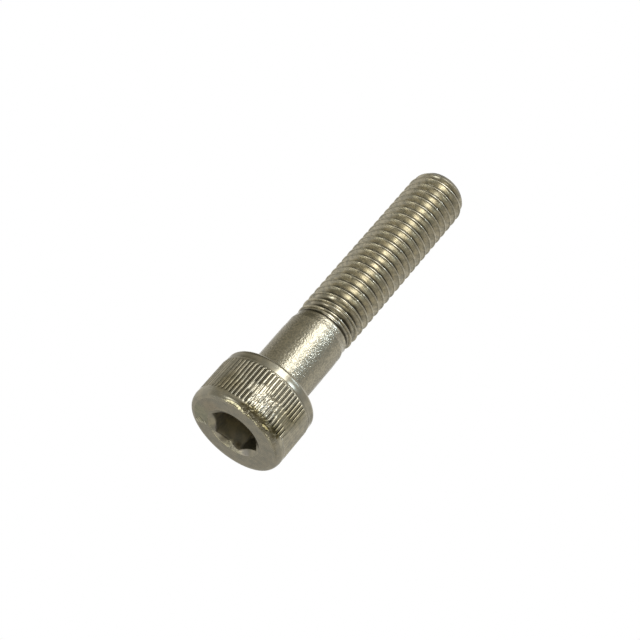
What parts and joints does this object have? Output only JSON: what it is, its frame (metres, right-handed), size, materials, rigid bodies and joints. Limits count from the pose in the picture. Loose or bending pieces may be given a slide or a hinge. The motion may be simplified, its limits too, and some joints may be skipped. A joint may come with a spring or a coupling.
{
  "type": "hex socket head cap screw",
  "caption": "Knurled cylindrical head with a hexagon socket on a partly threaded metric shank with a rounded tip.",
  "frame": {"origin": "centre of the head's end face, where the hexagon socket opens", "axes": "+Z along the shank, from the head's end face to the tip; two corners of the hexagon socket lie on the X axis"},
  "size_m": [0.0132, 0.0132, 0.048],
  "materials": {
    "stainless_steel": "satin, cold forged and thread rolled, with knurl wear and small nicks on the head"
  },
  "bodies": {
    "root": {"screw": "stainless_steel"}
  },
  "joints": []
}
